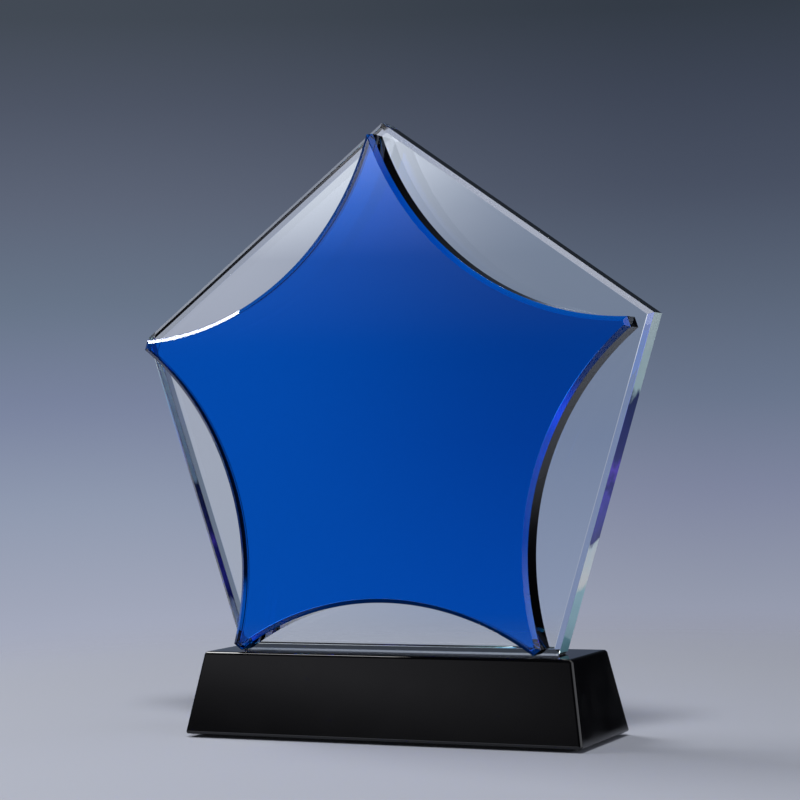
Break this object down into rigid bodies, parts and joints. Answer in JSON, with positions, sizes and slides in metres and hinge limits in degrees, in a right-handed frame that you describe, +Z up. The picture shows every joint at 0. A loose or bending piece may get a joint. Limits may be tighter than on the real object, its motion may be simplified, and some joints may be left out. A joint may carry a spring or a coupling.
{
  "type": "star trophy",
  "caption": "Clear crystal pentagon plate with a blue crystal star bonded to its front, glued upright on a tapered black crystal block; an award that stands on a shelf or desk.",
  "frame": {"origin": "on the table, under the middle of the black block", "axes": "+Z up from the table to the top corner of the pentagon; the star faces -Y; +X to the right of someone facing the star"},
  "size_m": [0.2092, 0.0496, 0.2295],
  "materials": {
    "felt": "pressed black felt with a short matt nap",
    "black_crystal": "black optical glass, machine polished, mirror gloss",
    "clear_crystal": "colourless optical glass, machine polished",
    "adhesive": "clear light-cured adhesive, no thicker than a hair",
    "blue_crystal": "cobalt blue optical glass, machine polished"
  },
  "bodies": {
    "root": {"base_felt": "felt", "base_block": "black_crystal", "foot_bond": "adhesive", "pentagon_plate": "clear_crystal", "star_bond": "adhesive", "star": "blue_crystal"}
  },
  "joints": []
}
